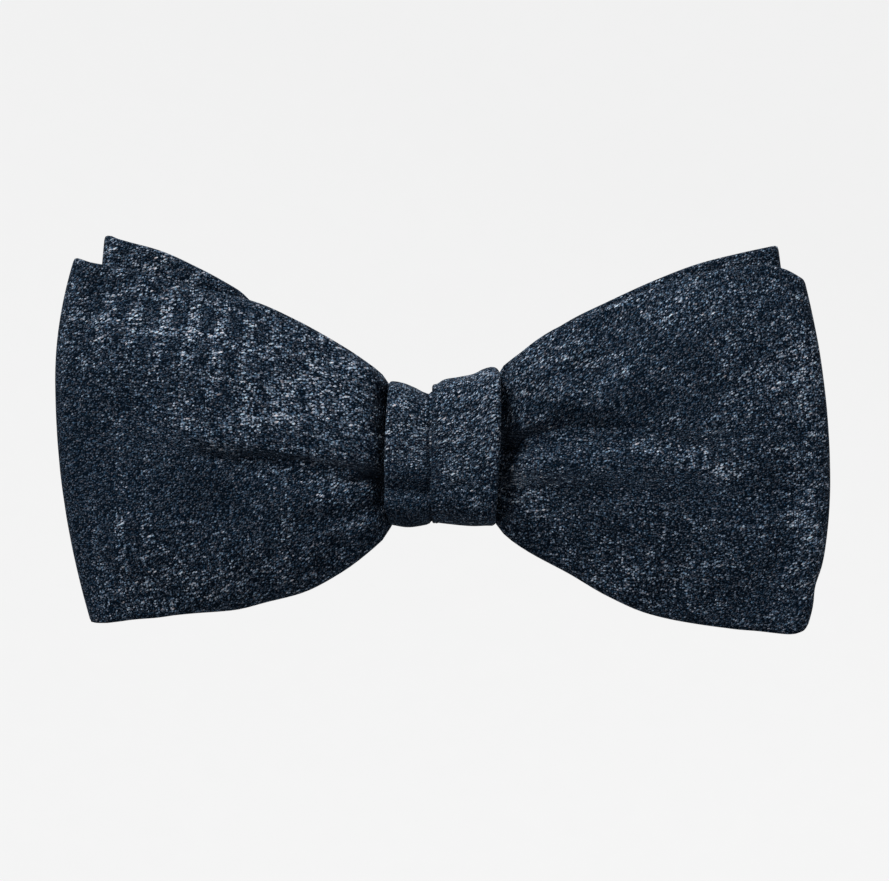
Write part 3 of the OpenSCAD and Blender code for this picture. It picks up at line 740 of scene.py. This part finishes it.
# Denser and thinner places of the flecks and of the check, read off the photo, also painting light
# and shade
# Painted light on the tops, crease ridges, knot sides and bottom; painted shade in crease valleys
FRONT_FLECK_AND_LIGHT_PATCHES = [
    (-46, 19, 9, 7, -0.08, 0.62), (-33, 16, 8, 8, -0.02, 0.62), (-20, 10, 8, 6, 0.12, 0),
    (-30, 4, 9, 3.5, 0.1, 0), (-58, -9, 6, 14, -0.4, 0), (-48, -3, 8, 4, -0.16, 0.2),
    (-38, -8, 9, 4, -0.2, 0), (-52, -14, 7, 9, -0.06, 0.55), (-30, -12, 10, 6, -0.12, 0.3),
    (-33.5, 0, 3.2, 1.1, 0.34, 0), (-20, 3, 9, 3, 0.1, 0), (-14, -5, 6, 4, 0.2, 0),
    (-38, -12, 4.5, 0.6, 0.35, 0), (-29, -19, 14, 4, 0.16, 0), (-56, 2, 3, 2, -0.16, 0),
    (-12, 7, 5, 5, 0.08, 0), (30, -3, 9, 3.5, -0.18, 0), (39, 1, 8, 6, -0.06, 0.5),
    (27, 3.8, 7, 1.7, -0.3, 0), (56, 14, 4, 6, 0.15, 0), (22, 0.5, 4, 0.8, 0.25, 0),
    (30.5, -0.8, 4, 0.7, 0.4, 0), (37, -2.2, 3, 0.9, 0.4, 0), (43, -4.2, 3.5, 1.2, 0.45, 0),
    (33, 7.4, 9, 1.7, -0.24, 0), (35, 16, 6, 1.5, -0.18, 0), (48, 10, 5, 4, 0.16, 0),
    (56, -13, 3, 9, 0.26, 0), (12, 7, 4, 7, 0.02, 0), (13, -8, 5, 5, 0.12, 0),
    (34, -16, 12, 5, -0.02, 0.3), (48, 20, 7, 5, -0.06, 0.15), (20, 12, 9, 4, 0.06, 0),
    (45, -9, 7, 2, -0.12, 0), (38, -7, 5, 1.4, -0.15, 0), (-50, 20, 12, 8, 0.12, 0),
    (-20, 12, 13, 9, 0.13, 0), (14, 12, 12, 7, 0.1, 0), (38, 22, 14, 5, 0.15, 0),
    (56, 9, 4, 9, 0.22, 0), (-36, 5, 14, 5, 0.04, 0), (-44, -22, 12, 4, 0.2, 0),
    (30, -22, 12, 4, 0.14, 0), (-33, -9, 6, 4, -0.14, 0), (10, -6, 4, 5, 0.18, 0),
    (-24, -4, 9, 2.5, 0.12, 0),
]
# Painted shade: dark lines under the two main creases
FRONT_CREASE_SHADES = [(-1, LEFT_CREASE, 8, 26, 0.5), (1, RIGHT_CREASE, 10, 22, 0.35)]
# Painted light: lighter upper corners of the rear bow, with a little of the check on the left
REAR_FLECK_AND_LIGHT_PATCHES = [(-46, 28, 10, 6, 0.2, 0.2), (44, 27, 11, 6, 0.08, 0)]
front_cloth, front_canvas = bow_piece(
    "front_bow_cloth", front_grid, front_uv, "front_bow_fabric", FRONT_FLECK_AND_LIGHT_PATCHES, FRONT_CREASE_SHADES)
rear_cloth, rear_canvas = bow_piece(
    "rear_bow_cloth", rear_grid, rear_uv, "rear_bow_fabric", REAR_FLECK_AND_LIGHT_PATCHES)


# -------- the knot
LEFT_TOP = curve((-8.9, 10.0), (-7.5, 9.8), (-4.5, 8.7), (-2.3, 7.8), (0, 7.8))
RIGHT_TOP = curve((-2, 8.9), (-1, 9.3), (0.2, 10.0), (2.5, 10.4), (4.4, 10.8), (6.4, 11.9),
                  (7.4, 12.2), (8.9, 12.0))
LEFT_BOTTOM = curve((-8.9, -12.4), (-6, -12.7), (-2, -12.3))
RIGHT_BOTTOM = curve((-2, -12.0), (1, -12.2), (4, -12.4), (8.9, -12.6))
SEAM_Z = -3
KNOT_U, KNOT_V = 90, 140  # where the band lies on the weave's map, clear of the bows


def knot_section():
    """Section of the band in X and depth: two panels, a knife pleat between, rolled edges."""
    def arc(x, d, r, start, end, n):
        q = np.radians(np.linspace(start, end, n))
        return np.stack([x + r * np.cos(q), d + r * np.sin(q)], -1)

    left_panel = np.linspace(-7.7, -2.6, 15)
    right_panel = np.linspace(-0.9, 7.6, 24)
    outside = [
        arc(-7.85, -0.75, 0.75, 180, 95, 6),
        np.stack([left_panel, 0.12 * np.sin((left_panel + 7.7) / 5.1 * math.pi)], -1),
        [(-2.1, -0.16), (-1.82, -0.48), (-1.2, -0.7), (-0.6, -0.58), (-0.65, -0.24),
         (-1.1, -0.1)],
        arc(-1.35, 0.27, 0.36, 255, 105, 7),
        np.stack([right_panel, 0.5 + 0.16 * np.sin((right_panel + 0.9) / 8.5 * math.pi)], -1),
        arc(7.6, -0.35, 0.85, 82, 5, 6),
        arc(7.75, -0.8, 0.7, -8, -86, 5),
    ]
    inside = [np.stack([np.linspace(7.1, -7.3, 18), np.full(18, -1.5)], -1),
              arc(-7.85, -0.75, 0.75, 262, 190, 5)]
    outline = np.concatenate(outside + inside)
    of_right = np.concatenate(
        [np.full(len(part), k) for k, part in zip((0, 0, 0, 1, 1, 1, 1), outside)]
        + [ease((inside[0][:, 0] + 4) / 6), [0] * 5])
    return outline, of_right


def knot_grid():
    """Points of the knot's band: round the waist by its section."""
    sec, of_right = knot_section()
    x, d = sec[:, 0], sec[:, 1]
    front, back, rf, rb = -16.1, 0.6, 4.6, 2.2  # depths, and how round their edges are
    top = mix(LEFT_TOP(x), RIGHT_TOP(x) - 0.5, of_right)
    bottom = mix(LEFT_BOTTOM(x), RIGHT_BOTTOM(x) + 0.5, of_right)
    parts = []

    def line(y0, z0, y1, z1, n, ny, nz):
        for f in np.linspace(0, 1, n, endpoint=False):
            parts.append((mix(y0, y1, f), mix(z0, z1, f), ny, nz))

    def bend(cy, cz, r, q0, q1, n):
        for q in np.linspace(q0, q1, n, endpoint=False):
            parts.append((cy + r * math.cos(q), cz + r * math.sin(q), math.cos(q), math.sin(q)))

    half = math.pi / 2
    line(back, SEAM_Z, back, bottom + rb, 18, 1, 0)
    bend(back - rb, bottom + rb, rb, 0, -half, 8)
    line(back - rb, bottom, front + rf, bottom, 18, 0, -1)
    bend(front + rf, bottom + rf, rf, -half, -2 * half, 14)
    line(front, bottom + rf, front, top - rf, 40, -1, 0)
    bend(front + rf, top - rf, rf, 2 * half, half, 14)
    line(front + rf, top, back - rb, top, 18, 0, 1)
    bend(back - rb, top - rb, rb, half, 0, 8)
    line(back, top - rb, back, SEAM_Z, 26, 1, 0)
    y, z, ny, nz = (np.stack([np.broadcast_to(p[k], x.shape) for p in parts]) for k in range(4))
    length = np.concatenate([[0], np.cumsum(np.hypot(np.diff(y[:, 10]), np.diff(z[:, 10])))])
    face = np.clip((-y - 8) / 6, 0, 1)
    xx = np.broadcast_to(x, y.shape)
    depth = np.broadcast_to(d, y.shape)
    outer = depth > -0.74  # not the layer underneath
    lift = np.where(depth > 0, depth * (1 - 0.8 * ease((y + 6) / 5)), depth)
    left = ease((-1.6 - xx) / 0.5) * outer
    right = ease((xx + 1.2) / 0.8) * outer
    belly = 0.75 * np.clip(1 - (z / 11.5) ** 2, 0, 1) * face
    wrinkle = -1.0 * np.exp(-np.abs((z + 7.2 + 0.16 * (xx + 5)) / 1.3) ** 1.8) * left
    wrinkle += 0.35 * bell(z + 9.2, 1.2) * left
    wrinkle += -0.3 * bell(z + 1.4 - 0.25 * (xx + 5), 1.3) * left
    slope = z + 2.6 + 0.75 * (xx - 1.5)
    wrinkle += -0.42 * bell(slope, 1.1) * bell(xx - 1.2, 3) * right
    slope = z + 6.6 + 0.5 * (xx - 3)
    wrinkle += -0.36 * bell(slope, 1.0) * bell(xx - 3, 3.4) * right
    wrinkle += 0.3 * bell(z + 8.6 + 0.3 * xx, 1.2) * right
    wrinkle += -0.3 * bell(z - 5.4 + 0.1 * xx, 1.6) * right
    wrinkle += 0.12 * value_noise(xx / 2.4 + 7, z / 2.0 + 9, 12) * outer
    lift = lift + (belly + wrinkle * face) * np.where(outer, 1, 0.3)
    seam = np.exp(-np.clip((-z - 3) / 5, 0, 9)) * (z < -3) * (y > 0) * outer
    lift = lift + 0.22 * seam
    wide = 1 + 0.045 * np.cos(np.clip(z / 13, -1, 1) * math.pi / 2) * face
    wide = wide + 0.004 * z * np.sign(xx) * face
    wide = wide - 0.07 * np.exp(-(z + 12.4) ** 2 / 3) * (xx < 0) * face
    grid = np.stack([xx * wide, y + ny * lift, z + nz * lift], -1)
    across = distance_along(sec)
    uv = np.stack([1.2 * np.broadcast_to(across, y.shape) + KNOT_U,
                   1.2 * length[:, None] + 0 * xx + KNOT_V], -1)
    return grid, np.stack([0 * ny, ny, nz], -1), uv


def make_knot():
    """The knot's band, hollow where two layers of cloth lie over each other."""
    grid, out, uv = knot_grid()
    rings, size = grid.shape[:2]
    panels = np.r_[6:21, 34:58]  # the points of the left panel and of the right one
    lining = np.arange(size - 20, size - 8)  # and of the layer under them, short of its ends
    hollow = np.concatenate([
        (grid - CLOTH_THICK * out)[:, panels], (grid + CLOTH_THICK * out)[:, lining]], 1)[::2]
    points = np.concatenate([grid.reshape(-1, 3), hollow.reshape(-1, 3)])
    faces = np.concatenate([
        tube_faces(rings, size, around=True),
        tube_faces(*hollow.shape[:2], first=rings * size, flip=True, around=True)])
    flat_uv = np.concatenate([uv.reshape(-1, 2), hollow.reshape(-1, 3)[:, [0, 2]]])
    x, z = points[:, 0], points[:, 2]
    # Partly the cloth's clouds, partly painted light and shade: fewer flecks towards the bottom and
    # lower left, more at the upper right and across the middle
    tone = 0.12 + 0.13 * ease((x - 1) / 5) * ease(z / 9) - 0.1 * ease((-z - 3) / 4)
    tone += 0.12 * bell(z - 2, 3.5)
    tone -= 0.26 * ease((-x - 1.8) / 0.5) * ease((-z - 2.5) / 2)
    # Painted shade: a dark line down the pleat
    tone -= 0.7 * bell(x + 1.85, 0.26)
    band = make("knot_band", points, faces, CLOTH, flat_uv,
                stands_for=["knot_wrap"], tone=tone)
    corner = corners(band.data).reshape(-1, 4)
    on_last_ring = ((corner >= (rings - 1) * size) & (corner < rings * size)).any(1)
    closing = on_last_ring[:, None] & (corner < size)
    values = np.zeros(corner.size * 2, np.float32)
    layer = band.data.uv_layers["weave"].data
    layer.foreach_get("uv", values)
    values = values.reshape(*corner.shape, 2)
    values[..., 1] += closing * (uv[-1, 0, 1] - KNOT_V + 0.4)
    layer.foreach_set("uv", values.ravel())
    return band


knot_band = make_knot()


# -------- thread, stitches and label
def strands(name, routes, radius, node, plies=2, pitch=1.3, sides=10, material=THREAD,
            body="bow"):
    """Twisted threads along routes of points, in one piece."""
    points, faces, uv, first = [], [], [], 0
    for route in routes:
        route = np.asarray(route, float)
        ahead = unit(np.gradient(route, axis=0))
        side = np.cross(ahead[0], (0.3, 0.5, 0.81))
        length = distance_along(route)
        for k in range(len(route)):
            side = side - ahead[k] * np.dot(side, ahead[k])
            side = side / np.linalg.norm(side)
            up = np.cross(ahead[k], side)
            for j in range(sides):
                q = TAU * j / sides
                r = radius * (0.8 + 0.2 * abs(math.cos(plies / 2 * (q - TAU * length[k] / pitch))))
                if k in (0, len(route) - 1):
                    r *= 0.55
                points.append(route[k] + side * r * math.cos(q) + up * r * math.sin(q))
                uv.append((length[k], j / sides))
        faces.append(tube_faces(len(route), sides, first))
        first += len(route) * sides
    return make(name, points, np.concatenate(faces), material, uv, body, [node])


def resample(points, step):
    """The same line with points every step."""
    points = np.asarray(points, float)
    length = distance_along(points)
    at = np.linspace(0, length[-1], max(8, int(length[-1] / step)))
    return np.stack([np.interp(at, length, points[:, k]) for k in range(3)], -1)


def cinch_route():
    """Three turns of thread round the gathered waist."""
    front, back, top, bottom, r = -9.9, -2.3, 5.3, -10.1, 0.5
    bends = [(back - r, top - r, 90), (back - r, bottom + r, 0), (front + r, bottom + r, -90),
             (front + r, top - r, -180)]
    route = []
    for i in range(12):
        y, z, turn = bends[i % 4]
        for a in range(0, 91, 15):
            q = math.radians(turn - a)
            route.append(((i / 4 + a / 360 - 1.5) * 0.6, y + r * math.cos(q), z + r * math.sin(q)))
    return resample(route, 0.2)


strands("waist_thread", [cinch_route()], 0.25, "cinch_thread")


def whip_stitch(x, tilt, length):
    """One slanted stitch over the seam behind the knot, diving in at both ends; tilt in degrees."""
    lean = math.radians(tilt)
    along = np.array([math.sin(lean), 0, math.cos(lean)])
    return [np.array([x, 1.15 - 1.5 * abs(f) ** 5, SEAM_Z]) + along * f * length / 2
            for f in np.linspace(-1, 1, 25)]


strands(
    "seam_stitches",
    [whip_stitch((i - 2) * 3 + 0.15 * math.sin(5 * i), 25 + 3 * math.sin(7 * i + 1), 2.5)
     for i in range(5)],
    0.22, "knot_stitches")

LABEL_X, LABEL_Z, LABEL_W, LABEL_H = 33, -14, 20, 11


def rear_face(x, z):
    """Back face of the rear bow's right wing, for pieces that lie on it."""
    back = rear_grid[: N_BACK - 1].reshape(-1, 3)
    near = np.hypot(back[:, 0, None] - np.ravel(x), back[:, 2, None] - np.ravel(z))
    share = 1 / (near + 0.25) ** 4
    return ((back[:, 1, None] * share).sum(0) / share.sum(0)).reshape(np.shape(x))


def make_label():
    """The blank label: ends turned under, and dimpled along its stitches."""
    nx, nz = 61, 35
    x, z = np.meshgrid(np.linspace(-1, 1, nx), np.linspace(-1, 1, nz), indexing="ij")
    base = rear_face(LABEL_X + x * LABEL_W / 2, LABEL_Z + z * LABEL_H / 2) + 0.08
    doubled = ease((np.abs(x) - 0.7) / 0.06)
    thick = 0.14 + 0.14 * doubled
    edge = np.minimum(1, np.minimum((1 - np.abs(x)) * 40, (1 - np.abs(z)) * 24)) ** 0.5
    ripple = 0.05 * np.sin(x * 9 + 2 * z) * (1 - z**2) * 0.6
    stitched = -0.07 * bell(np.abs(z) - 0.82, 0.09)
    face = base + thick * (0.35 + 0.65 * edge) + ripple + stitched
    wx = LABEL_X + x * (LABEL_W / 2 + 0.08 * np.sin(3 * z))
    wz = LABEL_Z + z * LABEL_H / 2
    top = np.stack([wx, face, wz], -1)
    under = np.stack([wx, base - 0.02 + 0 * x, wz], -1)
    rings = np.concatenate([top, under[:, ::-1]], 1)
    uv = np.stack([wx, wz], -1)
    ring_uv = np.concatenate([uv, uv[:, ::-1]], 1)
    return make("blank_label", rings.reshape(-1, 3), tube_faces(nx, 2 * nz), LABEL,
                ring_uv.reshape(-1, 2), stands_for=["care_label"])


blank_label = make_label()


def running_stitch(x, z, length):
    """One stitch along the label, diving in at both ends."""
    route = np.array([(x + f * length / 2, 0.36 - 0.34 * abs(f) ** 4, z)
                      for f in np.linspace(-1, 1, 15)])
    route[:, 1] += rear_face(route[:, 0], route[:, 2])
    return route


strands(
    "label_running_stitches",
    [running_stitch(LABEL_X + (i - 2.5) * 3 + 0.1 * math.sin(9 * i + end),
                    LABEL_Z + end * 4.5, 1.85)
     for end in (-1, 1) for i in range(6)],
    0.12, "label_stitches", pitch=0.7, sides=8)


def make_wadding():
    """The roll of wadding that rounds out the knot's front."""
    nx, ring = 25, 40
    rings = []
    for f in np.linspace(-1, 1, nx):
        shrink = max(0.05, (1 - abs(f) ** 6)) ** 0.5
        q = np.linspace(0, TAU, ring, endpoint=False)
        y = -12.3 + 1.75 * shrink * np.sign(np.cos(q)) * np.abs(np.cos(q)) ** 0.7
        z = -2.45 + 6.6 * shrink * np.sign(np.sin(q)) * np.abs(np.sin(q)) ** 0.8
        lump = 0.12 * value_noise(f * 5 + 8 + 0 * q, q * 2.2 + 3, 15)
        rings.append(np.stack([np.full(ring, f * 6.9), y + lump, z + lump], -1))
    rings = np.stack(rings)
    return make("knot_wadding", rings.reshape(-1, 3), tube_faces(nx, ring), WADDING,
                stands_for=["knot_padding"])


knot_wadding = make_wadding()


# -------- springs and plated metal
def spring_route(sign):
    """Leg on the arm, three and a half turns round the pin, leg under the lever's tail."""
    x0, y0, r, half = 23.0, 2.6, 1.5, 1.0
    turns = 3.5
    route = [(17.5, 0.35, half), (18.6, 0.52, half)]
    for a in np.arange(0, 360 * turns + 1, 9):
        q = math.radians(a - 90)
        along_pin = half * (1 - 2 * a / (360 * turns))
        route.append((x0 + r * math.cos(q), y0 + r * math.sin(q), along_pin))
    route += [(18.6, 5.0, -half), (17.2, 5.2, -half)]
    route = np.array(route)
    route[:, 0] *= sign
    return route


def make_spring(name, sign, node):
    """A torsion spring, bent from its arm to its lever."""
    obj = strands(name, [spring_route(sign)], 0.25, node, plies=0, sides=12, material=STEEL,
                  body=None)
    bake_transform(obj)


make_spring("left_spring_coil", -1, "left_lever_spring")
make_spring("right_spring_coil", 1, "right_lever_spring")

METAL_NODES = ["clip_backplate", "left_rivet", "right_rivet", "left_clip_arm", "right_clip_arm",
               "left_lever", "right_lever", "left_hinge_pin", "right_hinge_pin"]
for name in METAL_NODES:
    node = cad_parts[name]
    node.data.materials.clear()
    node.data.materials.append(NICKEL)
    soften = node.modifiers.new("worn_edges", "BEVEL")
    soften.width = 0.1 * MM
    soften.segments = 2
    soften.limit_method = "ANGLE"
    soften.angle_limit = math.radians(40)


# -------- stage, light and camera
def make_stage():
    """A wide bowl that glows pale as painted light: level in the middle, rising to a wall all
    round.
    """
    profile = [(0.0, -0.42), (0.5, -0.42)]  # radius and height in metres
    for q in np.linspace(0, math.pi / 2, 16):
        profile.append((0.5 + 1.0 * math.sin(q), 0.58 - 1.0 * math.cos(q)))
    profile.append((1.5, 1.5))
    count = 96
    points = [(0, 0, profile[0][1])]
    for r, z in profile[1:]:
        for k in range(count):
            points.append((r * math.cos(TAU * k / count), r * math.sin(TAU * k / count), z))
    faces = [(0, 1 + k, 1 + (k + 1) % count) for k in range(count)]
    for i in range(len(profile) - 2):
        for k in range(count):
            a, b = 1 + i * count + k, 1 + i * count + (k + 1) % count
            faces.append((a, a + count, b + count, b))
    net = Net("glowing_pale_paper", Roughness=0.95, Specular_IOR_Level=0.0, Emission_Strength=1.0)
    where = net.add("TexCoord", out=3)
    tooth = net.noise(where, 60.0, 2.0)
    net.to("Base Color", net.blend(tooth, rgb(0.10, 0.10, 0.10), rgb(0.11, 0.11, 0.11)))
    # Painted light: the bowl glows dim in front of the bow and bright behind it
    behind = net.ramp(net.parts(where)[1], -0.3, 1.1)
    net.to("Emission Color", net.blend(behind, rgb(0.30, 0.305, 0.315), rgb(0.79, 0.79, 0.79)))
    floor = make("pale_floor", np.array(points) / MM, faces, net.material, body=None)


make_stage()


def lamp(name, place, aim, size, power, colour=(1, 1, 1)):
    """A round soft lamp, hidden from the camera."""
    data = bpy.data.lights.new(name, "AREA")
    data.shape, data.size, data.energy, data.color = "DISK", size, power, colour
    obj = put(name, data)
    obj.location = place
    obj.rotation_euler = (Vector(aim) - Vector(place)).to_track_quat("-Z", "Y").to_euler()
    obj.visible_camera = False


lamp("key", (-0.42, -0.52, 0.86), (0, 0, 0), 0.4, 17.0, (1.0, 0.99, 0.97))
lamp("fill", (0.7, -0.75, 0.15), (0, 0, 0), 0.6, 0.7, (0.96, 0.98, 1.0))
lamp("back_key", (0.45, 0.7, 0.7), (0, 0, 0), 0.5, 7.0)

world = bpy.data.worlds.new("studio")
bpy.context.scene.world = world
world.use_nodes = True
sky = world.node_tree.nodes["Background"].inputs
sky["Color"].default_value = rgb(0.95, 0.97, 1.0)
sky["Strength"].default_value = 0.45
bpy.context.scene.view_settings.view_transform = "Standard"

camera_data = bpy.data.cameras.new("camera")
camera_data.lens = 100
camera_data.clip_start = 0.01
camera_data.clip_end = 20
camera = put("camera", camera_data)
camera.location = (0.23 * MM, -396 * MM, 0.7 * MM)
camera.rotation_euler = (math.pi / 2, 0, 0)
bpy.context.scene.camera = camera
